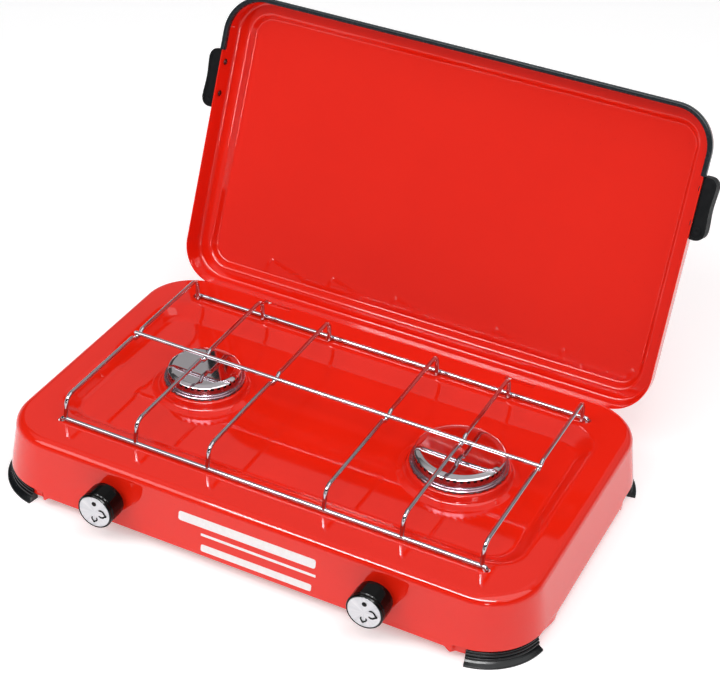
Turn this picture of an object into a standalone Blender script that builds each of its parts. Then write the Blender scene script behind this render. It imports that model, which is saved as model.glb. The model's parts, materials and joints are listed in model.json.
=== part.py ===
"""Two-burner camp stove with a folding lid, each sub-part as its own closed solid.

Metres, X to the right, Y to the back, Z up. The stove stands on Z = 0.
Lengths are given from the middle of the hob; the stove empty then moves the whole part,
so that its origin is under the middle of its box with the lid open.
"""
import math

import bmesh
import bpy
from mathutils import Matrix, Vector

for old in list(bpy.data.objects):
    bpy.data.objects.remove(old, do_unlink=True)

# ---- driving dimensions ----
GAP = 0.0003  # air left between two neighbouring solids
SHEET = 0.0010  # pressed steel of the hob and the lid
ORIGIN_SHIFT_Y = -0.0452  # from the middle of the hob to the middle of the whole box

HOB_HALF_X = 0.2443
HOB_HALF_Y = 0.1500
HOB_CORNER = 0.0495
RIM_Z = 0.0627
EDGE_ROUND = 0.0085
SKIRT_Z = 0.0071
SKIRT_FLARE = 0.0058
SKIRT_LIFT = 0.0040  # the skirt is this much shorter between its corners
LIFT_X = (0.185, 0.179)  # where that step starts and ends along the front and back
LIFT_Y = (0.080, 0.074)
CORNER_STEPS = 8

WELL_HALF_X = 0.2220
WELL_HALF_Y = 0.1060
WELL_CORNER = 0.0290
WELL_SLOPE = 0.0200
FLOOR_Z = 0.0530

BURNER_X = 0.1245
BURNER_Y = 0.0030
CAP_RADIUS = {"left": 0.0326, "right": 0.0392}
PLINTH_Z = 0.0640
CAP_TOP_Z = {"left": 0.0745, "right": 0.0753}

BAR_RADIUS = 0.0020
WIRE_RADIUS = 0.0019
BAR_Z = RIM_Z + BAR_RADIUS + GAP
FRONT_BAR_Y = -0.1125
REAR_BAR_Y = 0.1151
CENTRE_BAR_Y = 0.0033
WIRE_Z = 0.0863
WIRE_X = (-0.1945, -0.1245, -0.0545, 0.0545, 0.1245, 0.1945)
GRATE_HOLE_X = 0.1990
GRATE_HOLE_RADIUS = 0.0032

KNOB_Z = 0.0365
KNOB_RADIUS = 0.0163
KNOB_FRONT_Y = -0.1780
PUSH_TRAVEL = 0.0020
KNOB_REAR_Y = -(HOB_HALF_Y + 0.9 * SKIRT_FLARE + PUSH_TRAVEL)  # pushed in, it stays off the skirt
KNOB_LENGTH = KNOB_REAR_Y - KNOB_FRONT_Y

FOOT_TOP_Z = 0.0126
FOOT_RECESS = 0.0034

LID_OPEN_DEG = 110.5
HINGE_Y = 0.1409
HINGE_Z = 0.0558
HINGE_X = 0.1245
LID_RIM_Z = 0.0647
LID_HALF_X = 0.2375
LID_HALF_Y = 0.1390
LID_MID_Y = -0.0015
LID_CORNER = 0.0366
LID_WALL = 0.0150
LID_DEPTH = 0.0300
ARM_HALF_WIDTH = 0.0120
PIN_RADIUS = 0.0016
EYE_RADIUS = 0.0031
ARM_SHEET = 0.0012

GRIP_Y = (-0.0852, -0.0292)
GRIP_OUT = 0.0125
RIVET_Y = (-0.0737, -0.0432)
RIVET_HEIGHT = 0.0080

RAIL_Y = -0.1320
RAIL_Z = 0.0215
RAIL_RADIUS = 0.0050
INLET_X = -0.1700

SIDES = {"left": -1, "right": 1}


# ---- materials ----
def material(name, colour, metallic, roughness):
    mat = bpy.data.materials.new(name)
    mat.use_nodes = True
    shader = mat.node_tree.nodes["Principled BSDF"]
    shader.inputs["Base Color"].default_value = (*colour, 1.0)
    shader.inputs["Metallic"].default_value = metallic
    shader.inputs["Roughness"].default_value = roughness
    return mat


ENAMEL = ((0.78, 0.02, 0.015), 0.0, 0.12)
CHROME = ((0.80, 0.80, 0.82), 1.0, 0.10)
STEEL = ((0.55, 0.55, 0.57), 1.0, 0.30)
ZINC = ((0.62, 0.62, 0.60), 1.0, 0.40)
BRASS = ((0.72, 0.52, 0.22), 1.0, 0.30)
RUBBER = ((0.03, 0.035, 0.04), 0.0, 0.60)
PLASTIC = ((0.015, 0.015, 0.017), 0.0, 0.30)
SILVER = ((0.80, 0.80, 0.80), 1.0, 0.35)


# ---- meshes ----
def join_rings(bm, ring, following):
    """Faces between two rings of vertices, where a ring of one vertex is a pole."""
    if len(ring) == 1 and len(following) == 1:
        return
    count = max(len(ring), len(following))
    for i in range(count):
        j = (i + 1) % count
        if len(ring) == 1:
            bm.faces.new((ring[0], following[j], following[i]))
        elif len(following) == 1:
            bm.faces.new((ring[i], ring[j], following[0]))
        else:
            bm.faces.new((ring[i], ring[j], following[j], following[i]))


def add_object(name, bm, finish, parent, smooth_deg=35.0):
    bmesh.ops.recalc_face_normals(bm, faces=bm.faces)
    mesh = bpy.data.meshes.new(name)
    bm.to_mesh(mesh)
    bm.free()
    mesh.shade_smooth()
    mesh.set_sharp_from_angle(angle=math.radians(smooth_deg))
    mesh.materials.append(material(name + "_finish", *finish))
    obj = bpy.data.objects.new(name, mesh)
    obj.parent = parent
    bpy.context.collection.objects.link(obj)
    return obj


def lathe(profile, steps, place=Matrix.Identity(4)):
    """A closed (radius, height) outline turned about Z, then moved by place."""
    bm = bmesh.new()
    rings = []
    for radius, height in profile:
        if radius == 0:
            rings.append([bm.verts.new((0, 0, height))])
            continue
        angles = [math.tau * i / steps for i in range(steps)]
        rings.append([bm.verts.new((radius * math.cos(a), radius * math.sin(a), height)) for a in angles])
    for ring, following in zip(rings, rings[1:] + rings[:1]):
        join_rings(bm, ring, following)
    bmesh.ops.transform(bm, matrix=place, verts=bm.verts)
    return bm


def sweep(stations):
    """A solid through equal rings of points, closed at both ends."""
    bm = bmesh.new()
    rings = [[bm.verts.new(point) for point in station] for station in stations]
    for ring, following in zip(rings, rings[1:]):
        join_rings(bm, ring, following)
    bm.faces.new(rings[0])
    bm.faces.new(rings[-1])
    return bm


def rounded_path(corners, radius, steps=4):
    """A line of points through the corners, with each inner corner bent to the radius."""
    corners = [Vector(corner) for corner in corners]
    path = [corners[0]]
    for before, corner, after in zip(corners, corners[1:], corners[2:]):
        along = (corner - before).normalized()
        leaving = (after - corner).normalized()
        turn = along.angle(leaving)
        inward = (leaving - along * along.dot(leaving)).normalized()
        start = corner - along * radius * math.tan(turn / 2)
        for i in range(steps + 1):
            angle = turn * i / steps
            forward = radius * math.sin(angle)
            path.append(start + along * forward + inward * radius * (1 - math.cos(angle)))
    path.append(corners[-1])
    return path


def path_frames(path):
    """Each point with two directions across the path that don't twist along it."""
    frames = []
    across = None
    for i, point in enumerate(path):
        ahead = path[min(i + 1, len(path) - 1)] - path[max(i - 1, 0)]
        ahead.normalize()
        if across is None:
            across = ahead.orthogonal().normalized()
        across = (across - ahead * ahead.dot(across)).normalized()
        frames.append((point, across, ahead.cross(across)))
    return frames


def circle_stations(path, radius, sides):
    stations = []
    for point, across, up in path_frames(path):
        angles = [math.tau * i / sides for i in range(sides)]
        stations.append([point + across * radius * math.cos(a) + up * radius * math.sin(a) for a in angles])
    return stations


def rod(path, radius, sides):
    return sweep(circle_stations(path, radius, sides))


def pipe(path, outer, inner, sides):
    """A tube open at both ends."""
    bm = bmesh.new()
    skins = []
    for radius in (outer, inner):
        stations = circle_stations(path, radius, sides)
        skins.append([[bm.verts.new(point) for point in station] for station in stations])
        for ring, following in zip(skins[-1], skins[-1][1:]):
            join_rings(bm, ring, following)
    for end in (0, -1):
        join_rings(bm, skins[0][end], skins[1][end])
    return bm


def box(low, high):
    bm = bmesh.new()
    bmesh.ops.create_cube(bm, size=1.0)
    size = Vector(high) - Vector(low)
    middle = (Vector(high) + Vector(low)) / 2
    bmesh.ops.scale(bm, vec=size, verts=bm.verts)
    bmesh.ops.translate(bm, vec=middle, verts=bm.verts)
    return bm


def prism(outline, low, high, place):
    """The outline (a list of x, y pairs) extruded from low to high in Z, then moved by place."""
    bm = sweep([[Vector((x, y, z)) for x, y in outline] for z in (low, high)])
    bmesh.ops.transform(bm, matrix=place, verts=bm.verts)
    return bm


def combine(obj, operation, name, bm, parent):
    """Cuts a helper solid out of the object, or joins it on."""
    helper = add_object(name, bm, STEEL, parent)
    helper.hide_render = True
    helper.display_type = "WIRE"
    change = obj.modifiers.new(name, "BOOLEAN")
    change.operation = operation
    change.object = helper


def rounded_loop(half_x, half_y, corner, z, inset=0.0, lift=0.0):
    """The hob's rounded rectangle, anticlockwise. inset pulls in its corners, lift raises the rest."""
    points = []
    sides = {0: (0, 1), 1: (-1, 0), 2: (0, -1), 3: (1, 0)}
    for quarter in range(4):
        sign_x = 1 if quarter in (0, 3) else -1
        sign_y = 1 if quarter in (0, 1) else -1
        for i in range(CORNER_STEPS + 1):
            angle = math.radians(90 * (quarter + i / CORNER_STEPS))
            x = sign_x * (half_x - corner) + (corner - inset) * math.cos(angle)
            y = sign_y * (half_y - corner) + (corner - inset) * math.sin(angle)
            points.append(Vector((x, y, z)))
        side_x, side_y = sides[quarter]
        straight = (half_x if side_y else half_y) - corner
        outer, inner = LIFT_X if side_y else LIFT_Y
        outer = min(outer, straight - 0.002)
        inner = min(inner, outer - 0.004)
        for along, rise in ((outer, 0), (inner, lift), (-inner, lift), (-outer, 0)):
            if side_y:
                points.append(Vector((along * side_y, side_y * half_y, z + rise)))
            else:
                points.append(Vector((side_x * half_x, -along * side_x, z + rise)))
    return points


def arc(middle, radius, start_deg, end_deg, steps):
    angles = [math.radians(start_deg + (end_deg - start_deg) * i / steps) for i in range(steps + 1)]
    return [(middle[0] + radius * math.cos(a), middle[1] + radius * math.sin(a)) for a in angles]


# ---- hob ----
def hob_loops():
    """Outer surface of the pressed hob, from the skirt's lower edge in to the well's floor."""
    foot_x = HOB_HALF_X + SKIRT_FLARE
    foot_y = HOB_HALF_Y + SKIRT_FLARE
    foot_corner = HOB_CORNER + SKIRT_FLARE
    loops = [
        rounded_loop(foot_x, foot_y, foot_corner, SKIRT_Z, inset=FOOT_RECESS, lift=SKIRT_LIFT),
        rounded_loop(foot_x, foot_y, foot_corner, FOOT_TOP_Z + 0.0005, inset=FOOT_RECESS),
        rounded_loop(foot_x - 0.0003, foot_y - 0.0003, foot_corner - 0.0003, FOOT_TOP_Z + 0.0025),
    ]
    for run_in, z in arc((EDGE_ROUND, RIM_Z - EDGE_ROUND), EDGE_ROUND, 180, 90, 4):
        loops.append(rounded_loop(HOB_HALF_X - run_in, HOB_HALF_Y - run_in, HOB_CORNER - run_in, z))
    depth = RIM_Z - FLOOR_Z
    for share, drop in ((0, 0), (0.18, 0.06), (0.36, 0.24), (0.64, 0.76), (0.82, 0.94), (1, 1)):
        run_in = WELL_SLOPE * share
        corner = WELL_CORNER - 0.4 * run_in
        z = RIM_Z - depth * drop
        loops.append(rounded_loop(WELL_HALF_X - run_in, WELL_HALF_Y - run_in, corner, z))
    return loops


def plinth_profile(side):
    """Radius and height of a burner's plinth, from the floor up and in to its hole."""
    cap = CAP_RADIUS[side]
    return [
        (cap + 0.0095, FLOOR_Z),
        (cap + 0.0070, FLOOR_Z + 0.0012),
        (cap + 0.0042, PLINTH_Z - 0.0020),
        (cap + 0.0025, PLINTH_Z),
        (cap - 0.0080, PLINTH_Z),
    ]


def make_hob(parent):
    bm = bmesh.new()
    rings = [[bm.verts.new(point) for point in loop] for loop in hob_loops()]
    for ring, following in zip(rings, rings[1:]):
        join_rings(bm, ring, following)
    borders = [rings[-1]]
    for side, sign in SIDES.items():
        circles = []
        for radius, z in plinth_profile(side):
            angles = [math.tau * i / 24 for i in range(24)]
            spots = [(radius * math.cos(a), radius * math.sin(a)) for a in angles]
            circles.append([bm.verts.new((sign * BURNER_X + x, BURNER_Y + y, z)) for x, y in spots])
        for ring, following in zip(circles, circles[1:]):
            join_rings(bm, ring, following)
        borders.append(circles[0])
    edges = []
    for border in borders:
        for first, second in zip(border, border[1:] + border[:1]):
            edges.append(bm.edges.get((first, second)) or bm.edges.new((first, second)))
    bmesh.ops.triangle_fill(bm, use_beauty=True, edges=edges, normal=(0, 0, 1))
    hob = add_object("hob_shell", bm, ENAMEL, parent, 50)
    shell = hob.modifiers.new("sheet", "SOLIDIFY")
    shell.thickness = SHEET
    shell.offset = -1
    shell.use_even_offset = True

    for x in (-GRATE_HOLE_X, GRATE_HOLE_X):
        for y in (FRONT_BAR_Y, REAR_BAR_Y):
            place = Matrix.Translation((x, y, 0))
            outline = [(0, 0.0560), (GRATE_HOLE_RADIUS, 0.0560), (GRATE_HOLE_RADIUS, 0.0680), (0, 0.0680)]
            combine(hob, "DIFFERENCE", "grate_hole_cutter", lathe(outline, 12, place), parent)
    for sign in SIDES.values():
        place = Matrix.Translation((sign * BURNER_X, -0.140, KNOB_Z)) @ Matrix.Rotation(math.pi / 2, 4, "X")
        outline = [(0, 0), (0.0050, 0), (0.0050, 0.03), (0, 0.03)]
        combine(hob, "DIFFERENCE", "spindle_hole_cutter", lathe(outline, 16, place), parent)
        low = (sign * HINGE_X - 0.0145, HINGE_Y - 0.0045, 0.0505)
        high = (sign * HINGE_X + 0.0145, HINGE_Y + 0.0180, 0.0700)
        combine(hob, "DIFFERENCE", "hinge_slot_cutter", box(low, high), parent)
    place = Matrix.Translation((INLET_X, 0.165, RAIL_Z)) @ Matrix.Rotation(math.pi / 2, 4, "X")
    outline = [(0, 0), (0.0065, 0), (0.0065, 0.03), (0, 0.03)]
    combine(hob, "DIFFERENCE", "inlet_hole_cutter", lathe(outline, 16, place), parent)


def make_feet(parent):
    """Rubber strips that clip over the skirt at its four corners."""
    skirt = HOB_CORNER + SKIRT_FLARE - FOOT_RECESS
    inner = skirt - SHEET - GAP
    outer = skirt + GAP
    seat = SKIRT_Z - GAP
    section = [
        (inner, seat), (inner, 0.0115), (inner - 0.0012, 0.0115), (inner - 0.0022, 0.0000),
        (skirt + 0.0076, 0.0000), (skirt + 0.0074, 0.0016), (skirt + 0.0048, 0.0036),
        (skirt + 0.0026, 0.0056), (skirt + 0.0012, 0.0072), (skirt + 0.0020, 0.0084),
        (skirt + 0.0012, 0.0098), (skirt + 0.0019, 0.0112), (skirt + 0.0015, FOOT_TOP_Z),
        (outer, FOOT_TOP_Z), (outer, seat),
    ]
    middle_x = HOB_HALF_X - HOB_CORNER
    middle_y = HOB_HALF_Y - HOB_CORNER
    for name, sign_x, sign_y in (
        ("foot_front_left", -1, -1), ("foot_front_right", 1, -1),
        ("foot_rear_left", -1, 1), ("foot_rear_right", 1, 1),
    ):
        stations = []
        for i in range(CORNER_STEPS + 1):
            angle = math.radians(90 * i / CORNER_STEPS)
            station = []
            for radius, z in section:
                x = sign_x * (middle_x + radius * math.cos(angle))
                y = sign_y * (middle_y + radius * math.sin(angle))
                station.append(Vector((x, y, z)))
            stations.append(station)
        add_object(name, sweep(stations), RUBBER, parent)


# ---- burners ----
def make_burner(side, parent):
    cap = CAP_RADIUS[side]
    hole = cap - 0.0080
    place = Matrix.Translation((SIDES[side] * BURNER_X, BURNER_Y, 0))
    flange_low = PLINTH_Z + GAP
    cup = [
        (0.0057, 0.0470), (0.0067, 0.0470), (0.0067, 0.0525), (hole - 0.0020, 0.0580),
        (hole - 0.0015, flange_low), (cap + 0.0008, flange_low), (cap + 0.0008, flange_low + 0.0010),
        (hole - 0.0025, flange_low + 0.0010), (hole - 0.0030, 0.0588), (0.0057, 0.0533),
    ]
    add_object("burner_cup_" + side, lathe(cup, 24, place), STEEL, parent)
    seat = flange_low + 0.0010 + GAP
    cap_top = CAP_TOP_Z[side]
    ring_top = cap_top - 0.0031
    ring = [
        (cap - 0.0050, seat), (cap - 0.0012, seat), (cap - 0.0007, 0.0683), (cap + 0.0028, 0.0688),
        (cap + 0.0036, 0.0694), (cap + 0.0030, 0.0700), (cap + 0.0002, 0.0706), (cap - 0.0010, ring_top),
        (cap - 0.0050, ring_top),
    ]
    add_object("burner_ring_" + side, lathe(ring, 24, place), STEEL, parent)
    low = ring_top + GAP
    top = [
        (0, cap_top - 0.0016), (0, cap_top - 0.0006), (cap - 0.0048, cap_top - 0.0002),
        (cap - 0.0038, cap_top), (cap - 0.0010, cap_top - 0.0007), (cap, cap_top - 0.0020), (cap, low),
        (cap - 0.0054, low), (cap - 0.0054, 0.0690), (cap - 0.0066, 0.0690), (cap - 0.0066, cap_top - 0.0016),
    ]
    add_object("burner_cap_" + side, lathe(top, 24, place), CHROME, parent)


# ---- grate ----
def make_grate(parent):
    end_z = 0.0585
    for name, y in (("grate_front_bar", FRONT_BAR_Y), ("grate_rear_bar", REAR_BAR_Y)):
        x = GRATE_HOLE_X
        corners = [(-x, y, end_z), (-x, y, BAR_Z), (x, y, BAR_Z), (x, y, end_z)]
        add_object(name, rod(rounded_path(corners, 0.0045, 3), BAR_RADIUS, 8), CHROME, parent)
    ends = [Vector((x, CENTRE_BAR_Y, WIRE_Z)) for x in (-0.1965, 0.1965)]
    add_object("grate_centre_bar", rod(ends, BAR_RADIUS, 8), CHROME, parent)

    dip = BAR_RADIUS + WIRE_RADIUS + GAP
    rear_leg_y = REAR_BAR_Y - dip
    for number, x in enumerate(WIRE_X, start=1):
        front = rounded_path([
            (x, FRONT_BAR_Y, BAR_Z + BAR_RADIUS + GAP), (x, FRONT_BAR_Y + 0.0024, WIRE_Z),
            (x, CENTRE_BAR_Y - 0.0200, WIRE_Z)], 0.0090, 3)
        jog = rounded_path([
            (x, CENTRE_BAR_Y - 0.0120, WIRE_Z), (x, CENTRE_BAR_Y - 0.0085, WIRE_Z),
            (x, CENTRE_BAR_Y - 0.0035, WIRE_Z - dip), (x, CENTRE_BAR_Y + 0.0035, WIRE_Z - dip),
            (x, CENTRE_BAR_Y + 0.0085, WIRE_Z), (x, CENTRE_BAR_Y + 0.0120, WIRE_Z)], 0.0035, 2)
        rear = rounded_path([
            (x, CENTRE_BAR_Y + 0.0200, WIRE_Z), (x, REAR_BAR_Y - 0.0060, WIRE_Z),
            (x, rear_leg_y, RIM_Z + 0.0006)], 0.0090, 3)
        add_object(f"grate_wire_{number}", rod(front + jog + rear, WIRE_RADIUS, 6), CHROME, parent)


# ---- gas line ----
def make_gas_line(parent):
    corners = [
        (BURNER_X + 0.0140, RAIL_Y, RAIL_Z), (INLET_X, RAIL_Y, RAIL_Z),
        (INLET_X, HOB_HALF_Y - 0.0120, RAIL_Z)]
    add_object("gas_rail", rod(rounded_path(corners, 0.0200, 5), RAIL_RADIUS, 10), ZINC, parent)

    turn = Matrix.Rotation(-math.pi / 2, 4, "X")
    place = Matrix.Translation((INLET_X, 0, RAIL_Z)) @ turn
    hexagon = [(0, 0.1270), (0.0095, 0.1270), (0.0095, 0.1377), (0, 0.1377)]
    nut = add_object("inlet_nut", lathe(hexagon, 6, place), BRASS, parent, 20)
    bore = [(0, 0.1200), (0.0056, 0.1200), (0.0056, 0.1400), (0, 0.1400)]
    combine(nut, "DIFFERENCE", "nut_bore_cutter", lathe(bore, 12, place), parent)
    barbs = []
    for start in (0.1625, 0.1670, 0.1715):
        barbs += [(0.0048, start), (0.0040, start + 0.0045)]
    nozzle = [
        (0.0020, 0.1383), (0.0060, 0.1383), (0.0060, 0.1563), (0.0085, 0.1563), (0.0085, 0.1610),
        (0.0040, 0.1610), *barbs, (0.0032, 0.1770), (0.0020, 0.1770),
    ]
    add_object("inlet_nozzle", lathe(nozzle, 12, place), BRASS, parent)

    for side, sign in SIDES.items():
        front = RAIL_Y - RAIL_RADIUS - GAP
        top = RIM_Z - SHEET - GAP
        outline = [
            (front, 0.0170), (front, top - ARM_SHEET), (front + 0.0150, top - ARM_SHEET),
            (front + 0.0150, top), (front - ARM_SHEET, top), (front - ARM_SHEET, 0.0170),
        ]
        place = Matrix.Translation((sign * 0.060, 0, 0)) @ Matrix(
            ((0, 0, 1, 0), (1, 0, 0, 0), (0, 1, 0, 0), (0, 0, 0, 1)))
        add_object("rail_bracket_" + side, prism(outline, -0.009, 0.009, place), ZINC, parent)


def make_tap(side, parent, plunger_parent, spindle_parent):
    """Tap, jet and mixing tube on the hob, and the pieces that the knob pushes and turns."""
    x = SIDES[side] * BURNER_X
    on_axis = Matrix.Rotation(math.pi / 2, 4, "X")
    place = Matrix.Translation((x, 0, KNOB_Z)) @ on_axis
    bore = 0.0043
    body = [
        (0, 0.1180), (0.0060, 0.1180), (0.0060, 0.1210), (0.0085, 0.1210), (0.0085, 0.1420),
        (0.0070, 0.1430), (0.0070, 0.1470), (bore, 0.1470), (bore, 0.1280), (0, 0.1280),
    ]
    tap = add_object("tap_body_" + side, lathe(body, 16, place), BRASS, parent)
    stem_low = RAIL_Z + RAIL_RADIUS + GAP
    stem = [(0, stem_low), (0.0038, stem_low), (0.0038, KNOB_Z - 0.0050), (0, KNOB_Z - 0.0050)]
    stem_place = Matrix.Translation((x, RAIL_Y, 0))
    combine(tap, "UNION", "tap_stem_helper", lathe(stem, 12, stem_place), parent)

    jet = [
        (0.0008, 0.1070), (0.0022, 0.1070), (0.0026, 0.1110), (0.0046, 0.1110), (0.0046, 0.1177),
        (0.0008, 0.1177),
    ]
    add_object("injector_" + side, lathe(jet, 10, place), BRASS, parent)
    corners = [(x, -0.1050, KNOB_Z), (x, BURNER_Y, KNOB_Z), (x, BURNER_Y, 0.0500)]
    tube = pipe(rounded_path(corners, 0.0110, 4), 0.0082, 0.0071, 10)
    add_object("mixing_tube_" + side, tube, ZINC, parent)

    plunger = [(0.0024, 0.1330), (0.0040, 0.1330), (0.0040, 0.1390), (0.0024, 0.1390)]
    add_object("tap_plunger_" + side, lathe(plunger, 12, on_axis), BRASS, plunger_parent)
    rear = -KNOB_REAR_Y
    front = rear + KNOB_LENGTH
    socket = rear + 0.0130
    neck = 0.0030
    spindle = [
        (0, 0.1303), (0.0021, 0.1303), (0.0021, 0.1393), (neck, 0.1393), (neck, socket - GAP),
        (0, socket - GAP),
    ]
    add_object("tap_spindle_" + side, lathe(spindle, 12, on_axis), STEEL, spindle_parent)
    lip = KNOB_RADIUS - 0.0014
    seat = front - 0.0014
    knob = [
        (0, socket), (neck + GAP, socket), (neck + GAP, rear), (KNOB_RADIUS, rear),
        (KNOB_RADIUS, front - 0.0030), (KNOB_RADIUS - 0.0008, front), (lip, front), (lip, seat),
        (0, seat),
    ]
    add_object("knob_" + side, lathe(knob, 24, on_axis), PLASTIC, spindle_parent)
    face = [
        (0, seat + GAP), (lip - GAP, seat + GAP), (lip - GAP, front - 0.0002), (0, front + 0.0004),
    ]
    add_object("knob_face_" + side, lathe(face, 24, on_axis), SILVER, spindle_parent, 20)


# ---- hinge ----
def make_hinge(side, parent, lid):
    x = SIDES[side] * HINGE_X
    cross = Matrix(((0, 0, 1, 0), (1, 0, 0, 0), (0, 1, 0, 0), (0, 0, 0, 1)))
    pin_half = ARM_HALF_WIDTH + 0.0042
    place = Matrix.Translation((x, HINGE_Y, HINGE_Z)) @ cross
    pin = [(0, -pin_half), (PIN_RADIUS, -pin_half), (PIN_RADIUS, pin_half), (0, pin_half)]
    add_object("hinge_pin_" + side, lathe(pin, 12, place), STEEL, parent)

    back = HOB_HALF_Y - SHEET - GAP
    cheek = [
        (HINGE_Y - 0.0040, HINGE_Z - 0.0030), (HINGE_Y - 0.0040, HINGE_Z + 0.0032),
        (HINGE_Y + 0.0030, HINGE_Z + 0.0032), (back - 0.0010, HINGE_Z - 0.0040),
        (back, HINGE_Z - 0.0080), (back, 0.0330), (back - 0.0060, 0.0330),
    ]
    gap = ARM_HALF_WIDTH + 0.0006
    width = 0.0024
    flat = Matrix.Translation((x, 0, 0)) @ cross
    bracket = add_object("hinge_bracket_" + side, prism(cheek, gap, gap + width, flat), ZINC, parent)
    combine(bracket, "UNION", "cheek_helper", prism(cheek, -gap - width, -gap, flat), parent)
    plate = box((x - gap - 0.0012, back - 0.0020, 0.0345), (x + gap + 0.0012, back - 0.0005, 0.0475))
    combine(bracket, "UNION", "plate_helper", plate, parent)
    hole = PIN_RADIUS + GAP
    bore = [(0, -0.030), (hole, -0.030), (hole, 0.030), (0, 0.030)]
    combine(bracket, "DIFFERENCE", "bracket_bore_cutter", lathe(bore, 12, place), parent)

    inside = EYE_RADIUS - ARM_SHEET
    meet = math.sqrt(EYE_RADIUS**2 - inside**2)
    start = math.degrees(math.atan2(meet, -inside))
    outline = [(-EYE_RADIUS, 0.0270), (-inside, 0.0270), *arc((0, 0), EYE_RADIUS, start, -180, 10)]
    in_lid = Matrix.Translation((x, 0, 0)) @ cross
    arm = prism(outline, -ARM_HALF_WIDTH, ARM_HALF_WIDTH, in_lid)
    hinge_arm = add_object("hinge_arm_" + side, arm, ZINC, lid)
    combine(hinge_arm, "DIFFERENCE", "eye_bore_cutter", lathe(bore, 12, in_lid), lid)


# ---- lid, in the place it has when it is closed, measured from the hinge axis ----
def lid_point(x, y, height):
    return Vector((x, y - HINGE_Y, LID_RIM_Z + height - HINGE_Z))


def lid_profile():
    """Run-in from the rim and height above it, over the outside of the pressed lid."""
    draft = 0.0012
    wall_round = 0.0080
    profile = [(0, 0)]
    profile += arc((draft + wall_round, LID_WALL), wall_round, 180, 90, 3)
    profile += [
        (0.0125, 0.0233), (0.0150, 0.0246), (0.0175, 0.0282), (0.0195, LID_DEPTH - 0.0003),
        (0.0220, LID_DEPTH)]
    return profile


def side_axis(sign):
    """Turns Z to point out of the lid on the given side."""
    return Matrix.Rotation(sign * math.pi / 2, 4, "Y")


def lid_loop(run_in, height):
    """The lid's rounded rectangle, anticlockwise, this far in from its rim."""
    corner = LID_CORNER - run_in
    loop = []
    for quarter in range(4):
        middle_x = (LID_HALF_X - LID_CORNER) * (1 if quarter in (0, 3) else -1)
        middle_y = LID_MID_Y + (LID_HALF_Y - LID_CORNER) * (1 if quarter in (0, 1) else -1)
        spots = arc((middle_x, middle_y), corner, 90 * quarter, 90 * (quarter + 1), CORNER_STEPS)
        loop += [lid_point(x, y, height) for x, y in spots]
    return loop


def make_lid(lid):
    bm = bmesh.new()
    rings = [[bm.verts.new(point) for point in lid_loop(*step)] for step in lid_profile()]
    for ring, following in zip(rings, rings[1:]):
        join_rings(bm, ring, following)
    bm.faces.new(rings[-1])
    shell = add_object("lid_shell", bm, ENAMEL, lid, 50)
    sheet = shell.modifiers.new("sheet", "SOLIDIFY")
    sheet.thickness = SHEET
    sheet.offset = -1
    sheet.use_even_offset = True
    for y in RIVET_Y:
        for sign in SIDES.values():
            place = Matrix.Translation(lid_point(sign * 0.2300, y, RIVET_HEIGHT)) @ side_axis(sign)
            outline = [(0, 0), (0.0019, 0), (0.0019, 0.0100), (0, 0.0100)]
            combine(shell, "DIFFERENCE", "rivet_hole_cutter", lathe(outline, 12, place), lid)


def make_trim(lid):
    """Plastic channel pushed over the lid's front edge and the front part of its sides."""
    section = [
        (0.0003, 0.0050), (0.0018, 0.0050), (0.0018, -0.0014), (-0.0028, -0.0014),
        (-0.0028, 0.0042), (-0.0014, 0.0042), (-0.0014, -GAP), (0.0003, -GAP),
    ]
    end_y = GRIP_Y[0] - 0.0006
    middle_x = LID_HALF_X - LID_CORNER
    middle_y = LID_MID_Y - LID_HALF_Y + LID_CORNER
    stations = [(Vector((-LID_HALF_X, end_y)), Vector((-1, 0)))]
    for corner_x, start in ((-middle_x, 180), (middle_x, 270)):
        for i in range(9):
            angle = math.radians(start + 90 * i / 8)
            outward = Vector((math.cos(angle), math.sin(angle)))
            stations.append((Vector((corner_x, middle_y)) + outward * LID_CORNER, outward))
    stations.append((Vector((LID_HALF_X, end_y)), Vector((1, 0))))
    rings = []
    for spot, outward in stations:
        rings.append([lid_point(*(spot + outward * out), height) for out, height in section])
    add_object("lid_edge_trim", sweep(rings), RUBBER, lid)


def make_grip(side, lid):
    sign = SIDES[side]
    face = LID_HALF_X + GAP
    low, high = GRIP_Y
    round_end = 0.0075
    tip = face + GRIP_OUT
    outline = [(face, low)]
    outline += arc((tip - round_end, low + round_end), round_end, -90, 0, 4)
    outline += [(tip - 0.0012, low + 0.0220), (tip - 0.0012, high - 0.0240)]
    outline += arc((tip - round_end, high - round_end), round_end, 0, 90, 4)
    outline += [(face, high)]
    mirrored = Matrix.Diagonal((sign, 1, 1, 1))
    grip = prism(outline, 0.0020, 0.0190, Matrix.Translation(lid_point(0, 0, 0)) @ mirrored)
    grip_name = "lid_grip_" + side
    grip = add_object(grip_name, grip, PLASTIC, lid)
    edge = grip.modifiers.new("edges", "BEVEL")
    edge.width = 0.0009
    edge.segments = 1
    edge.limit_method = "ANGLE"
    for place_name, y in zip(("front", "rear"), RIVET_Y):
        start = lid_point(sign * (LID_HALF_X - 0.0034), y, RIVET_HEIGHT)
        place = Matrix.Translation(start) @ side_axis(sign)
        bore = [(0, 0.0020), (0.0018, 0.0020), (0.0018, 0.0112), (0, 0.0112)]
        combine(grip, "DIFFERENCE", "grip_bore_cutter", lathe(bore, 12, place), lid)
        rivet = [
            (0, 0), (0.0018, 0), (0.0026, 0.0006), (0.0026, 0.0014), (0.0015, 0.0014),
            (0.0015, 0.0100), (0, 0.0100)]
        add_object(f"grip_rivet_{side}_{place_name}", lathe(rivet, 12, place), STEEL, lid)


# ---- assembly ----
def empty(name, place, parent=None):
    holder = bpy.data.objects.new(name, None)
    holder.location = place
    holder.parent = parent
    bpy.context.collection.objects.link(holder)
    return holder


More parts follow.
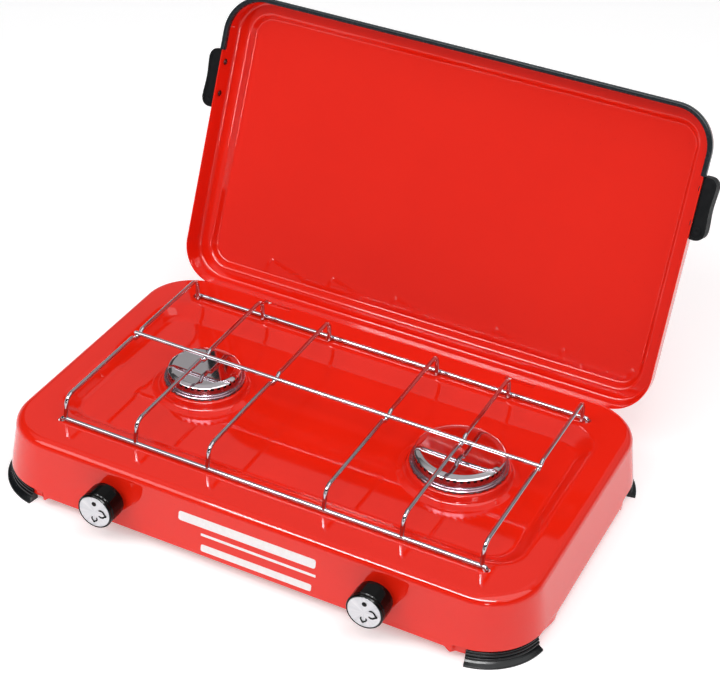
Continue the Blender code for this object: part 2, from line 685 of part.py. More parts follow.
stove = empty("stove", (0, ORIGIN_SHIFT_Y, 0))
make_hob(stove)
make_feet(stove)
make_grate(stove)
make_gas_line(stove)
lid_hinge = empty("lid_hinge", (0, HINGE_Y, HINGE_Z), stove)
lid_hinge.rotation_euler.x = -math.radians(LID_OPEN_DEG)
make_lid(lid_hinge)
make_trim(lid_hinge)
for each_side in SIDES:
    push = empty("tap_push_" + each_side, (SIDES[each_side] * BURNER_X, 0, KNOB_Z), stove)
    turn_axis = empty("tap_turn_" + each_side, (0, 0, 0), push)
    make_burner(each_side, stove)
    make_tap(each_side, stove, push, turn_axis)
    make_hinge(each_side, stove, lid_hinge)
    make_grip(each_side, lid_hinge)
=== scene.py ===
import json
import math

import bmesh
import bpy
from mathutils import Matrix, Vector


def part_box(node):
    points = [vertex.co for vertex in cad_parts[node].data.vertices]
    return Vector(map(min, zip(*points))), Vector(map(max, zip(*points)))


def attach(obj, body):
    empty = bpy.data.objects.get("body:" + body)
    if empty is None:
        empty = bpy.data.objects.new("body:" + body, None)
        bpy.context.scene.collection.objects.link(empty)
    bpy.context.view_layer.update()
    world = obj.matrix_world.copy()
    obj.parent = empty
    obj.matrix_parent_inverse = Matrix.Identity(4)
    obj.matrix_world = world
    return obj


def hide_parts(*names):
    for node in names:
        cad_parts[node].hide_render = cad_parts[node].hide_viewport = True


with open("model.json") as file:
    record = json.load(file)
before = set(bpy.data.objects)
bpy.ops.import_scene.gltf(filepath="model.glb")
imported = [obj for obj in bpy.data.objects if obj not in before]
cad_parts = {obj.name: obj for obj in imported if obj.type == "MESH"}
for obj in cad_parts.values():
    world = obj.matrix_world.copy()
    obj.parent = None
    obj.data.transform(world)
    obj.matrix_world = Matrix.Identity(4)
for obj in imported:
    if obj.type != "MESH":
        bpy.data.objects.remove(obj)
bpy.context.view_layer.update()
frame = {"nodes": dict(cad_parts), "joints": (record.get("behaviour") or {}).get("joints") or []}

# Looks of a two-burner camp stove. Metres, X to the right, Y to the back, Z up, as in the frame.


# ---- sizes, worked out from the frame ----
def middle(node):
    low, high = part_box(node)
    return (low + high) / 2


SIDES = {"left": -1, "right": 1}
SHEET = 0.0010  # pressed steel of the hob and the lid
GAP = 0.0003  # air between a piece and what it sits on
FLARE = 0.0058  # how far the skirt leans out at its foot
FORWARDS = Matrix.Rotation(math.pi / 2, 4, "X")  # turns Z to point to the front
BACKWARDS = Matrix.Rotation(-math.pi / 2, 4, "X")

hob_low, hob_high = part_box("hob_shell")
MIDDLE_Y = (hob_low.y + hob_high.y) / 2
HALF_X = hob_high.x - FLARE
HALF_Y = (hob_high.y - hob_low.y) / 2 - FLARE
HOB_CORNER = 0.0495
SKIRT_Z = hob_low.z
RIM_Z = hob_high.z - 0.0013  # the CAD's plinths stand this much above its rim
PLINTH_TOP_Z = RIM_Z - 0.0006
BURNER_LIP = 0.0080  # a plinth's hole has a radius this much smaller than its cap's
FLOOR_Z = RIM_Z - 0.0097
EDGE_ROUND = 0.0085
WALL_TOP_Z = RIM_Z - EDGE_ROUND
FOOT_TOP_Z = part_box("foot_front_left")[1].z
FOOT_RECESS = 0.0034  # how far the skirt's corners pull in behind the feet
WALL_LOW_Z = FOOT_TOP_Z + 0.0028  # where that recess has run out
WALL_LEAN = FLARE - 0.0003  # how far the wall leans out from its top to there
SKIRT_LIFT = 0.0040  # the skirt is this much shorter between its corners
LIFT_RUN = 0.0060  # along the skirt, where it steps up
WELL_HALF_X = 0.2220
WELL_HALF_Y = 0.1060
WELL_CORNER = 0.0290
WELL_SLOPE = 0.0200

GRATE_HOLE_RADIUS = 0.0032
SPINDLE_HOLE_RADIUS = 0.0050
INLET_HOLE_RADIUS = 0.0065
HINGE_SLOT_HALF = 0.0145
HINGE_SLOT_Y = (-0.0045, 0.0180)  # from the hinge's axis
HINGE_SLOT_Z = (RIM_Z - 0.0122, RIM_Z + 0.0073)

BAR_RADIUS = 0.0020
WIRE_RADIUS = 0.0019
BAR_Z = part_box("grate_front_bar")[1].z - BAR_RADIUS
FRONT_BAR_Y = middle("grate_front_bar").y
REAR_BAR_Y = middle("grate_rear_bar").y
CENTRE_BAR_Y = middle("grate_centre_bar").y
WIRE_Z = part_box("grate_wire_1")[1].z - WIRE_RADIUS
WIRE_X = [middle(f"grate_wire_{number}").x for number in range(1, 7)]

lid_joint = next(joint for joint in frame["joints"] if joint["name"] == "lid_hinge")
HINGE = Vector(lid_joint["pos_m"])
OPEN_ANGLE = math.radians(lid_joint["range_deg"][1])
# Lid pieces are modelled as the lid lies closed, measured from the hinge axis, and then opened.
OPENED = Matrix.Translation(HINGE) @ Matrix.Rotation(-OPEN_ANGLE, 4, "X")


def lid_box(node):
    """Lowest and highest corner of a lid node, measured as the lid lies closed."""
    spots = [OPENED.inverted() @ v.co for v in frame["nodes"][node].data.vertices]
    low = Vector(min(spot[axis] for spot in spots) for axis in range(3))
    high = Vector(max(spot[axis] for spot in spots) for axis in range(3))
    return low, high


lid_low, lid_high = lid_box("lid_shell")
LID_HALF = Vector(((lid_high.x - lid_low.x) / 2, (lid_high.y - lid_low.y) / 2))
LID_MIDDLE_Y = (lid_high.y + lid_low.y) / 2
LID_RIM = lid_low.z
LID_DEPTH = lid_high.z - lid_low.z
LID_CORNER = 0.0366


# ---- meshes ----
def soften(points, steps=5, closed=False):
    """A smooth line through the points. The last number of each point is its corner's radius."""
    places = [Vector(point[:-1]).to_3d() for point in points]
    line = []
    count = len(points)
    for i, (place, point) in enumerate(zip(places, points)):
        radius = point[-1]
        if radius == 0 or (not closed and i in (0, count - 1)):
            line.append(place)
            continue
        before, after = places[i - 1], places[(i + 1) % count]
        along = (place - before).normalized()
        leaving = (after - place).normalized()
        turn = along.angle(leaving)
        if turn < 0.01:
            line.append(place)
            continue
        room = 0.49 * min((place - before).length, (after - place).length)
        cut = min(radius * math.tan(turn / 2), room)
        radius = cut / math.tan(turn / 2)
        inward = (leaving - along * along.dot(leaving)).normalized()
        start = place - along * cut
        for step in range(steps + 1):
            angle = turn * step / steps
            forward = along * radius * math.sin(angle)
            line.append(start + forward + inward * radius * (1 - math.cos(angle)))
    return line


def join_rings(bm, ring, following):
    """Faces between two rings of vertices, where a ring of one vertex is a pole."""
    if len(ring) == 1 and len(following) == 1:
        return
    count = max(len(ring), len(following))
    for i in range(count):
        j = (i + 1) % count
        if len(ring) == 1:
            bm.faces.new((ring[0], following[j], following[i]))
        elif len(following) == 1:
            bm.faces.new((ring[i], ring[j], following[0]))
        else:
            bm.faces.new((ring[i], ring[j], following[j], following[i]))


def lathe(outline, steps=96, shape=None):
    """A closed (radius, height) outline turned about Z. shape(angle, spot) scales the radius."""
    bm = bmesh.new()
    rings = []
    for spot in outline:
        if spot[0] < 1e-7:
            rings.append([bm.verts.new((0, 0, spot[1]))])
            continue
        ring = []
        for i in range(steps):
            angle = math.tau * i / steps
            radius = spot[0] * (shape(angle, spot) if shape else 1)
            ring.append(bm.verts.new((radius * math.cos(angle), radius * math.sin(angle), spot[1])))
        rings.append(ring)
    for ring, following in zip(rings, rings[1:] + rings[:1]):
        join_rings(bm, ring, following)
    return bm


def sweep(stations):
    """A solid through equal rings of points, closed at both ends."""
    bm = bmesh.new()
    rings = [[bm.verts.new(point) for point in station] for station in stations]
    for ring, following in zip(rings, rings[1:]):
        join_rings(bm, ring, following)
    bm.faces.new(rings[0])
    bm.faces.new(rings[-1])
    return bm


def path_frames(path):
    """Each point with two directions across the path that don't twist along it."""
    frames = []
    across = None
    for i, point in enumerate(path):
        ahead = (path[min(i + 1, len(path) - 1)] - path[max(i - 1, 0)]).normalized()
        if across is None:
            across = ahead.orthogonal().normalized()
        across = (across - ahead * ahead.dot(across)).normalized()
        frames.append((point, across, ahead.cross(across)))
    return frames


def ring_across(path_frame, radius, sides):
    """A circle of points across a path, at one of its frames."""
    point, across, up = path_frame
    angles = [math.tau * step / sides for step in range(sides)]
    return [point + (across * math.cos(a) + up * math.sin(a)) * radius for a in angles]


def rod(path, radius, sides=16):
    """A round bar along the path, with its ends rounded off past the path's."""
    end_length = radius * 0.5
    end_radius = radius * 0.6
    start = path[0] + (path[0] - path[1]).normalized() * end_length
    finish = path[-1] + (path[-1] - path[-2]).normalized() * end_length
    first, *between, last = path_frames([start, *path, finish])
    stations = [ring_across(first, end_radius, sides)]
    stations += [ring_across(path_frame, radius, sides) for path_frame in between]
    stations.append(ring_across(last, end_radius, sides))
    return sweep(stations)


def pipe(path, outer, inner, sides=32):
    """A tube open at both ends."""
    bm = bmesh.new()
    skins = []
    for radius in (outer, inner):
        skin = []
        for path_frame in path_frames(path):
            skin.append([bm.verts.new(place) for place in ring_across(path_frame, radius, sides)])
        for ring, following in zip(skin, skin[1:]):
            join_rings(bm, ring, following)
        skins.append(skin)
    for end in (0, -1):
        join_rings(bm, skins[0][end], skins[1][end])
    return bm


def slab(outline, low, high, edge=0.0, steps=3):
    """A flat outline with thickness, whose rims are rounded by edge."""
    bm = sweep([[Vector((x, y, z)) for x, y in outline] for z in (low, high)])
    if edge:
        caps = [face for face in bm.faces if len(face.verts) == len(outline)]
        rims = list({side for face in caps for side in face.edges})
        bmesh.ops.bevel(bm, geom=rims, offset=edge, segments=steps, profile=0.5, affect="EDGES")
    return bm


def blob(bm, place, size):
    """Adds a bead of weld to the mesh."""
    made = bmesh.ops.create_icosphere(bm, subdivisions=2, radius=1.0)
    bmesh.ops.scale(bm, vec=size, verts=made["verts"])
    bmesh.ops.translate(bm, vec=place, verts=made["verts"])


def arc(centre, radius, start_deg, end_deg, steps):
    """(x, y) points round the centre."""
    angles = [math.radians(start_deg + (end_deg - start_deg) * i / steps) for i in range(steps + 1)]
    return [(centre[0] + radius * math.cos(a), centre[1] + radius * math.sin(a)) for a in angles]


def circle(bm, centre, radius, z, steps):
    """A level ring of new vertices."""
    spots = arc(centre, radius, 0, 360, steps)[:-1]
    return [bm.verts.new((x, y, z)) for x, y in spots]


def bore(radius, low, high, steps=32):
    """A round cutter along Z."""
    return lathe([(0, low), (radius, low), (radius, high), (0, high)], steps)


def bare_object(name, bm):
    bmesh.ops.recalc_face_normals(bm, faces=bm.faces)
    mesh = bpy.data.meshes.new(name)
    bm.to_mesh(mesh)
    bm.free()
    obj = bpy.data.objects.new(name, mesh)
    bpy.context.scene.collection.objects.link(obj)
    return obj


def bake_modifiers(obj):
    bpy.context.view_layer.update()
    shown = obj.evaluated_get(bpy.context.evaluated_depsgraph_get())
    mesh = bpy.data.meshes.new_from_object(shown)
    obj.modifiers.clear()
    obj.data = mesh


def cut(obj, cutters):
    """Takes each closed mesh out of the object."""
    helpers = []
    for bm in cutters:
        helper = bare_object("cutter", bm)
        change = obj.modifiers.new("cut", "BOOLEAN")
        change.object = helper
        helpers.append(helper)
    bake_modifiers(obj)
    for helper in helpers:
        bpy.data.objects.remove(helper)


def dress(obj, body, look, nodes, smooth_deg=40.0):
    """Shades, paints and seats a finished piece on its body."""
    mesh = obj.data
    mesh.shade_smooth()
    mesh.set_sharp_from_angle(angle=math.radians(smooth_deg))
    if mesh.materials:
        mesh.materials.clear()
    mesh.materials.append(look)
    shading = obj.modifiers.new("shading", "WEIGHTED_NORMAL")
    shading.keep_sharp = True
    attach(obj, body)
    if nodes:
        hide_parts(*nodes)
    return obj


def piece(name, bm, body, look, nodes=(), place=None, smooth_deg=40.0):
    if place is not None:
        bmesh.ops.transform(bm, matrix=place, verts=bm.verts)
    return dress(bare_object(name, bm), body, look, nodes, smooth_deg)


# ---- materials ----
class Look:
    """A Principled material with room for procedural detail in the piece's own coordinates."""

    def __init__(self, name, colour, metallic=0.0, roughness=0.3, **sockets):
        self.material = bpy.data.materials.new(name)
        self.material.use_nodes = True
        self.tree = self.material.node_tree
        self.shader = self.tree.nodes["Principled BSDF"]
        self.colour = (*colour, 1.0)
        self.shader.inputs["Base Color"].default_value = self.colour
        self.shader.inputs["Metallic"].default_value = metallic
        self.shader.inputs["Roughness"].default_value = roughness
        for socket, value in sockets.items():
            self.shader.inputs[socket.replace("_", " ")].default_value = value
        self.where = self.node("ShaderNodeTexCoord").outputs["Object"]
        self.bump = None

    def node(self, kind, **settings):
        made = self.tree.nodes.new(kind)
        for key, value in settings.items():
            if key in made.inputs:
                made.inputs[key].default_value = value
            else:
                setattr(made, key, value)
        return made

    def link(self, source, target):
        self.tree.links.new(source, target)

    def mapped(self, scale=(1, 1, 1), shift=(0, 0, 0), turn=(0, 0, 0)):
        made = self.node("ShaderNodeMapping")
        made.inputs["Location"].default_value = shift
        made.inputs["Rotation"].default_value = turn
        made.inputs["Scale"].default_value = scale
        self.link(self.where, made.inputs["Vector"])
        return made.outputs["Vector"]

    def noise(self, size, detail=3.0, where=None):
        """Soft random values with features of about this size in metres."""
        made = self.node("ShaderNodeTexNoise", Scale=1.0 / size, Detail=detail)
        self.link(where or self.where, made.inputs["Vector"])
        return made.outputs["Fac"]

    def spread(self, source, low, high, start=0.3, end=0.7):
        made = self.node("ShaderNodeMapRange")
        for socket, value in zip(("From Min", "From Max", "To Min", "To Max"), (start, end, low, high)):
            made.inputs[socket].default_value = value
        self.link(source, made.inputs["Value"])
        return made.outputs["Result"]

    def tint(self, source, colour):
        """Mixes the base colour towards another by a 0 to 1 value."""
        made = self.node("ShaderNodeMix", data_type="RGBA")
        current = self.shader.inputs["Base Color"]
        if current.is_linked:
            self.link(current.links[0].from_socket, made.inputs[6])
        else:
            made.inputs[6].default_value = self.colour
        made.inputs[7].default_value = (*colour, 1.0)
        self.link(source, made.inputs[0])
        self.link(made.outputs[2], current)

    def rough(self, source, low, high):
        self.link(self.spread(source, low, high), self.shader.inputs["Roughness"])

    def relief(self, source, depth, strength=1.0):
        made = self.node("ShaderNodeBump", Strength=strength, Distance=depth)
        self.link(source, made.inputs["Height"])
        if self.bump:
            self.link(self.bump, made.inputs["Normal"])
        self.bump = made.outputs["Normal"]
        self.link(self.bump, self.shader.inputs["Normal"])


def enamel():
    look = Look("red_enamel", (0.83, 0.0170, 0.0050), 0.0, 0.05, IOR=1.5)
    look.tint(look.spread(look.noise(0.09), 0.0, 0.35), (0.77, 0.0130, 0.0038))
    specks = look.spread(look.noise(0.0016, 1.0), 0.0, 0.5, 0.76, 0.80)
    look.tint(specks, (0.56, 0.006, 0.003))
    look.rough(look.noise(0.03), 0.025, 0.050)
    look.relief(look.noise(0.11, 1.0), 0.00012)
    look.relief(look.noise(0.0035, 2.0), 0.000003)
    return look.material


def chrome():
    look = Look("chromed_wire", (0.55, 0.52, 0.55), 1.0, 0.07)
    look.tint(look.spread(look.noise(0.012), 0.0, 0.4), (0.38, 0.35, 0.40))
    look.rough(look.noise(0.004), 0.03, 0.08)
    look.relief(look.noise(0.0040), 0.000008)
    return look.material


def ring_wave(look, centre, pitch):
    """Fine turned rings round an upright axis through the centre."""
    where = look.mapped(shift=(-centre.x, -centre.y, 0))
    wave = look.node("ShaderNodeTexWave", wave_type="RINGS", rings_direction="Z", Scale=0.314 / pitch)
    look.link(where, wave.inputs["Vector"])
    return wave.outputs["Fac"]


def mirror_cap(side, centre):
    look = Look("polished_cap_" + side, (0.72, 0.68, 0.70), 1.0, 0.04)
    look.tint(look.spread(look.noise(0.02), 0.0, 0.4), (0.62, 0.57, 0.60))
    look.rough(look.noise(0.006), 0.02, 0.06)
    look.relief(ring_wave(look, centre, 0.0012), 0.000002, 0.3)
    return look.material


def port_steel():
    look = Look("port_ring_steel", (0.32, 0.21, 0.25), 1.0, 0.24)
    look.tint(look.spread(look.noise(0.008), 0.0, 0.6), (0.44, 0.35, 0.39))
    look.rough(look.noise(0.003), 0.17, 0.28)
    look.relief(look.noise(0.0016), 0.000004)
    return look.material


def plain_metal(name, colour, worn, roughness, grain):
    """Metal with mottling, fine scratches along X and small dents."""
    look = Look(name, colour, 1.0, roughness)
    look.tint(look.spread(look.noise(grain * 8), 0.0, 0.9), worn)
    scratches = look.noise(grain, 2.0, look.mapped(scale=(0.12, 1.0, 1.0)))
    look.rough(scratches, roughness * 0.7, roughness * 1.4)
    look.relief(scratches, 0.00001)
    return look.material


def moulded(name, colour, lighter, roughness, grain, depth, **sockets):
    """Plastic or rubber with a moulded grain and slight wear."""
    look = Look(name, colour, 0.0, roughness, **sockets)
    look.tint(look.spread(look.noise(grain * 12), 0.0, 0.7), lighter)
    look.rough(look.noise(grain * 4), roughness * 0.75, roughness * 1.3)
    look.relief(look.noise(grain), depth)
    return look.material


def spun_disc(side, centre):
    """Aluminium disc whose colour carries painted sheen: fine darker spokes round the knob's axis stand in
    for the streaked highlights of spun metal.
    """
    look = Look("spun_disc_" + side, (0.72, 0.72, 0.74), 0.75, 0.42)
    parts = look.node("ShaderNodeSeparateXYZ")
    look.link(look.mapped(shift=(-centre.x, 0, -centre.z)), parts.inputs["Vector"])
    angle = look.node("ShaderNodeMath", operation="ARCTAN2")
    look.link(parts.outputs["Z"], angle.inputs[0])
    look.link(parts.outputs["X"], angle.inputs[1])
    painted_sheen_spokes = look.node("ShaderNodeTexNoise", noise_dimensions="1D", Scale=2.2, Detail=4.0)
    look.link(angle.outputs["Value"], painted_sheen_spokes.inputs["W"])
    # Painted sheen: the colour darkens in spokes by angle round the axis, in place of real streaked
    # highlights.
    look.tint(look.spread(painted_sheen_spokes.outputs["Fac"], 0.0, 0.8), (0.52, 0.53, 0.56))
    look.rough(look.noise(0.0007), 0.36, 0.5)
    return look.material


# Flat ink for print; also used for the painted shade in the burners' ports.
def ink_and_painted_shade(name, colour, faded, **sockets):
    look = Look(name, colour, 0.0, 0.22, **sockets)
    look.tint(look.spread(look.noise(0.004), 0.0, 0.6), faded)
    look.rough(look.noise(0.002), 0.16, 0.3)
    return look.material


ENAMEL = enamel()
CHROME = chrome()
RUBBER = moulded(
    "black_rubber", (0.003, 0.004, 0.005), (0.008, 0.010, 0.012), 0.22, 0.0009, 0.00001,
    Specular_IOR_Level=0.32)
VINYL = moulded(
    "dark_vinyl", (0.010, 0.015, 0.019), (0.018, 0.024, 0.029), 0.24, 0.0008, 0.00001,
    Specular_IOR_Level=0.22)
GRIP_PLASTIC = moulded(
    "grip_plastic", (0.006, 0.007, 0.008), (0.012, 0.013, 0.014), 0.50, 0.0005, 0.00002,
    Specular_IOR_Level=0.06)
KNOB_PLASTIC = moulded(
    "knob_plastic", (0.002, 0.002, 0.002), (0.005, 0.005, 0.005), 0.12, 0.0030, 0.00001,
    Specular_IOR_Level=0.16)
PRESSED_STEEL = plain_metal("pressed_steel", (0.20, 0.17, 0.18), (0.12, 0.09, 0.10), 0.28, 0.0008)
PORT_STEEL = port_steel()
FASTENER = plain_metal("fastener_steel", (0.40, 0.40, 0.42), (0.28, 0.27, 0.28), 0.32, 0.0005)
DARK_RIVET = plain_metal("dark_rivet", (0.09, 0.05, 0.05), (0.05, 0.03, 0.03), 0.26, 0.0005)
ZINC = plain_metal("zinc_plate", (0.62, 0.62, 0.58), (0.50, 0.51, 0.50), 0.38, 0.0012)
BRASS = plain_metal("turned_brass", (0.74, 0.53, 0.22), (0.58, 0.40, 0.16), 0.28, 0.0007)
ALUMINIUM = plain_metal("drawn_aluminium", (0.70, 0.70, 0.69), (0.58, 0.58, 0.58), 0.34, 0.0010)
WHITE_PRINT = ink_and_painted_shade("white_print", (0.92, 0.88, 0.88), (0.84, 0.76, 0.76))
BLACK_PRINT = ink_and_painted_shade("black_print", (0.004, 0.004, 0.004), (0.010, 0.010, 0.010), Specular_IOR_Level=0.1)
# Painted shade: near-black floors of the port pockets stand in for the dark inside of the burner seen
# through its ports.
PORT_PAINTED_SHADE = ink_and_painted_shade("dark_port", (0.003, 0.002, 0.002), (0.006, 0.005, 0.005), Specular_IOR_Level=0.1)


# ---- hob ----
def smoothstep(share):
    share = min(max(share, 0.0), 1.0)
    return share * share * (3 - 2 * share)


def hob_loop(half_x, half_y, corner, z, foot_inset=0.0, lift=0.0):
    """The hob's rounded rectangle. Near the corners it pulls in by foot_inset; between them it lifts."""
    points = []
    corner_steps = 20
    for quarter in range(4):
        sign_x = 1 if quarter in (0, 3) else -1
        sign_y = 1 if quarter in (0, 1) else -1
        centre = (sign_x * (half_x - corner), sign_y * (half_y - corner))
        start = 90 * quarter
        for x, y in arc(centre, corner - foot_inset, start, start + 90, corner_steps):
            points.append(Vector((x, MIDDLE_Y + y, z)))
        along_x = quarter % 2 == 0
        straight = (half_x if along_x else half_y) - corner
        lift_start = 0.0040 if along_x else 0.0205
        lift_end = lift_start + LIFT_RUN
        quarters = (0.25, 0.5, 0.75, 1.0)
        spots = [lift_start * share for share in quarters]
        spots += [lift_start + LIFT_RUN * share for share in quarters]
        spots += [lift_end + (straight - lift_end) * share / 3 for share in (1, 2)]
        half_line = [straight - spot for spot in spots]
        for place in half_line + [0.0] + [-place for place in reversed(half_line)]:
            from_corner = straight - abs(place)
            pulled = foot_inset * (1 - smoothstep(from_corner / lift_start))
            rise = lift * smoothstep((from_corner - lift_start) / LIFT_RUN)
            if along_x:
                edge = Vector((place * sign_y, sign_y * (half_y - pulled), 0))
            else:
                edge = Vector((sign_x * (half_x - pulled), -place * sign_x, 0))
            points.append(edge + Vector((0, MIDDLE_Y, z + rise)))
    return points


def well_drop(share):
    """0 to 1 down the well's side: a bend, a straight slope and a bend."""
    bend = 0.34
    slope = 1 / (1 - bend)
    if share < bend:
        return slope * share**2 / (2 * bend)
    if share > 1 - bend:
        return 1 - slope * (1 - share) ** 2 / (2 * bend)
    return slope * (share - bend / 2)


def hob_loops():
    """Outer surface of the pressed hob, from the skirt's lower edge in to the well's floor."""
    def outside(out, z, **step):
        return hob_loop(HALF_X + out, HALF_Y + out, HOB_CORNER + out, z, **step)

    def in_well(run_in, z):
        return hob_loop(WELL_HALF_X - run_in, WELL_HALF_Y - run_in, WELL_CORNER - 0.4 * run_in, z)

    recess_z = FOOT_TOP_Z + GAP
    margin = 0.0010  # a narrow flat band that keeps a bend's shading off the flat beside it
    loops = [
        outside(FLARE, SKIRT_Z, foot_inset=FOOT_RECESS, lift=SKIRT_LIFT),
        outside(FLARE, SKIRT_Z + margin, foot_inset=FOOT_RECESS, lift=SKIRT_LIFT - 0.0005),
        outside(FLARE, recess_z, foot_inset=FOOT_RECESS),
    ]
    recess_steps = 7
    for i in range(1, recess_steps + 1):
        share = i / recess_steps
        out = FLARE + (WALL_LEAN - FLARE) * share
        z = recess_z + (WALL_LOW_Z - recess_z) * share
        loops.append(outside(out, z, foot_inset=FOOT_RECESS * (1 - smoothstep(share))))
    for share in (0.05, 0.33, 0.67, 0.94):
        loops.append(outside(WALL_LEAN * (1 - share), WALL_LOW_Z + (WALL_TOP_Z - WALL_LOW_Z) * share))
    for run_in, z in arc((EDGE_ROUND, WALL_TOP_Z), EDGE_ROUND, 180, 90, 12):
        loops.append(outside(-run_in, z))
    loops.append(outside(-EDGE_ROUND - margin, RIM_Z))
    slope_steps = 20
    for i in range(-1, slope_steps + 1):
        share = i / slope_steps
        loops.append(in_well(WELL_SLOPE * share, RIM_Z - (RIM_Z - FLOOR_Z) * well_drop(max(share, 0))))
    loops.append(in_well(WELL_SLOPE + margin, FLOOR_Z))
    return loops


def cap_radius(side):
    low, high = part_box("burner_cap_" + side)
    return (high.x - low.x) / 2


def plinth_outline(side):
    """Radius and height of a burner's plinth, from the well's floor up and in to its hole."""
    cap = cap_radius(side)
    return soften([
        (cap + 0.0160, FLOOR_Z, 0), (cap + 0.0140, FLOOR_Z, 0.0100),
        (cap + 0.0074, FLOOR_Z + 0.0018, 0.0045), (cap + 0.0050, PLINTH_TOP_Z, 0.0024),
        (cap - BURNER_LIP, PLINTH_TOP_Z, 0)], 8)


def make_sheet(name, bm):
    """An object whose outer surface has become pressed sheet metal."""
    obj = bare_object(name, bm)
    sheet = obj.modifiers.new("sheet", "SOLIDIFY")
    sheet.thickness = SHEET
    sheet.offset = -1
    sheet.use_even_offset = True
    bake_modifiers(obj)
    return obj


def hob_cutters():
    """The holes for the grate, the knobs' spindles and the gas inlet, and the slots for the hinges."""
    cutters = []
    hole_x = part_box("grate_front_bar")[1].x - BAR_RADIUS
    for x in (-hole_x, hole_x):
        for y in (FRONT_BAR_Y, REAR_BAR_Y):
            hole = bore(GRATE_HOLE_RADIUS, FLOOR_Z, RIM_Z + 0.005)
            bmesh.ops.translate(hole, vec=(x, y, 0), verts=hole.verts)
            cutters.append(hole)

    def through_wall(spot, start_y, radius):
        hole = bore(radius, 0, 0.030)
        place = Matrix.Translation((spot.x, start_y, spot.z)) @ FORWARDS
        bmesh.ops.transform(hole, matrix=place, verts=hole.verts)
        cutters.append(hole)

    for side in SIDES:
        through_wall(middle("knob_" + side), hob_low.y + 0.020, SPINDLE_HOLE_RADIUS)
        arm = middle("hinge_arm_" + side)
        front_y, rear_y = HINGE_SLOT_Y
        corners = [
            (-HINGE_SLOT_HALF, front_y, 0.001), (HINGE_SLOT_HALF, front_y, 0.001),
            (HINGE_SLOT_HALF, rear_y, 0), (-HINGE_SLOT_HALF, rear_y, 0)]
        outline = [(arm.x + spot.x, HINGE.y + spot.y) for spot in soften(corners, 4, True)]
        cutters.append(slab(outline, *HINGE_SLOT_Z))
    through_wall(middle("inlet_nozzle"), hob_high.y + 0.010, INLET_HOLE_RADIUS)
    return cutters


def make_hob():
    bm = bmesh.new()
    rings = [[bm.verts.new(point) for point in loop] for loop in hob_loops()]
    for ring, following in zip(rings, rings[1:]):
        join_rings(bm, ring, following)
    borders = [rings[-1]]
    for side in SIDES:
        centre = middle("burner_cap_" + side)
        circles = [circle(bm, centre, spot.x, spot.y, 96) for spot in plinth_outline(side)]
        for ring, following in zip(circles, circles[1:]):
            join_rings(bm, ring, following)
        borders.append(circles[0])
    edges = []
    for border in borders:
        for first, second in zip(border, border[1:] + border[:1]):
            edges.append(bm.edges.get((first, second)) or bm.edges.new((first, second)))
    bmesh.ops.triangle_fill(bm, use_beauty=True, edges=edges, normal=(0, 0, 1))
    hob = make_sheet("hob_pressing", bm)
    cut(hob, hob_cutters())
    dress(hob, "hob", ENAMEL, ["hob_shell"], 50)


def skirt_y(z):
    """Y of the front skirt's outer face at this height."""
    share = (z - WALL_LOW_Z) / (WALL_TOP_Z - WALL_LOW_Z)
    return MIDDLE_Y - HALF_Y - WALL_LEAN * (1 - share)


def make_stripes():
    """Plain printed bars on the front skirt, in place of lettering."""
    proud = 0.00006
    for name, start, end, z, half in (
        ("stripe_wide", -0.059, 0.0683, 0.0418, 0.0043),
        ("stripe_fine", -0.037, 0.0695, 0.0310, 0.0012),
        ("stripe_low", -0.036, 0.0668, 0.0187, 0.0033),
    ):
        outline = soften([
            (start, z - half, half * 0.5), (end, z - half, half * 0.5), (end, z + half, half * 0.5),
            (start, z + half, half * 0.5)], 4, True)
        fronts = [Vector((spot.x, skirt_y(spot.y) - proud, spot.y)) for spot in outline]
        backs = [Vector((spot.x, skirt_y(spot.y) + proud, spot.y)) for spot in outline]
        piece(name, sweep([fronts, backs]), "hob", WHITE_PRINT)


def make_feet():
    """Rubber strips with moulded bands, clipped over the skirt at its corners."""
    skirt = HOB_CORNER + FLARE - FOOT_RECESS
    inner = skirt - SHEET - GAP
    outer = skirt + GAP
    seat = SKIRT_Z - GAP
    waist = skirt + 0.0024
    section = soften([
        (inner, seat, 0), (inner, 0.0115, 0.0003), (inner - 0.0012, 0.0115, 0.0004),
        (inner - 0.0022, 0.0, 0.0003), (skirt + 0.0076, 0.0, 0.0004), (skirt + 0.0074, 0.0016, 0.0006),
        (skirt + 0.0044, 0.0032, 0.0030), (waist, 0.0048, 0.0006), (skirt + 0.0036, 0.0056, 0.0006),
        (skirt + 0.0034, 0.0072, 0.0007), (skirt + 0.0012, 0.0078, 0.0004),
        (skirt + 0.0027, 0.0086, 0.0005), (skirt + 0.0026, 0.0100, 0.0007),
        (skirt + 0.0009, 0.0106, 0.0003), (skirt + 0.0020, 0.0112, 0.0004),
        (skirt + 0.0018, FOOT_TOP_Z, 0.0007), (outer, FOOT_TOP_Z, 0.0002), (outer, seat, 0)], 4, True)
    start_deg = 10
    end_deg = 81
    steps = 32
    end_round = 0.12  # the strip's ends are rounded over this share of a step
    end_pinch = 0.86  # where its bands keep this share of their height from the waist
    shares = [0, end_round, *range(1, steps), steps - end_round, steps]
    for name in ("front_left", "front_right", "rear_left", "rear_right"):
        sign_x = -1 if "left" in name else 1
        sign_y = -1 if "front" in name else 1
        centre_x = sign_x * (HALF_X - HOB_CORNER)
        centre_y = MIDDLE_Y + sign_y * (HALF_Y - HOB_CORNER)
        stations = []
        for share in shares:
            angle = math.radians(start_deg + (end_deg - start_deg) * share / steps)
            station = []
            for spot in section:
                radius = spot.x
                if share in (0, steps) and radius > outer + 0.0001:
                    radius = waist + (radius - waist) * end_pinch
                x = centre_x + sign_x * radius * math.cos(angle)
                y = centre_y + sign_y * radius * math.sin(angle)
                station.append(Vector((x, y, spot.y)))
            stations.append(station)
        piece("rubber_foot_" + name, sweep(stations), "hob", RUBBER, ["foot_" + name])


